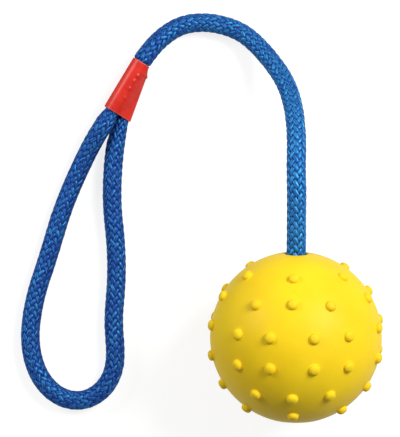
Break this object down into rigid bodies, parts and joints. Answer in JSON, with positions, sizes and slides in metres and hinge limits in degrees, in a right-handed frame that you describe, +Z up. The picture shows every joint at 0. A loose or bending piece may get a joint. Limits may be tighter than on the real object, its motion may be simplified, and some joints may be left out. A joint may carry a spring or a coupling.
{
  "type": "ball on rope",
  "caption": "Solid pimpled rubber ball threaded on a braided rope with a stopper knot, the rope's other end turned back into a hand loop and bound by a sleeve.",
  "frame": {"origin": "on the surface the toy lies on, under the middle of the box around the ball, its knot, the sleeve and the rope inside them; the free rope is left out", "axes": "+Z up from the surface; +Y level, the way the rope leaves the ball seen from above, along the longest side of that box; +X level, from the hand loop towards the ball"},
  "size_m": [0.1291, 0.1452, 0.0626],
  "materials": {
    "yellow_rubber": "satin",
    "blue_braid": "woven",
    "red_shrink_film": "satin",
    "white_thread": "twisted"
  },
  "bodies": {
    "rope": {"rope_lead": "blue_braid", "rope_leg_running": "blue_braid", "rope_leg_cut_end": "blue_braid", "stitch_thread": "white_thread", "shrink_sleeve": "red_shrink_film", "rope_loop": "blue_braid"},
    "knotted_end": {"rope_tail": "blue_braid", "stopper_knot": "blue_braid"},
    "ball": {"ball": "yellow_rubber"}
  },
  "joints": [
    {"name": "ball_spin", "type": "hinge", "parent": "rope", "child": "knotted_end", "pos_m": [0.0183, -0.035, 0.03131], "axis": [0, 0.9882, 0.153], "continuous": true},
    {"name": "ball_slide", "type": "slide", "parent": "knotted_end", "child": "ball", "axis": [0, 0.9882, 0.153], "range_m": [0, 0.02]}
  ]
}
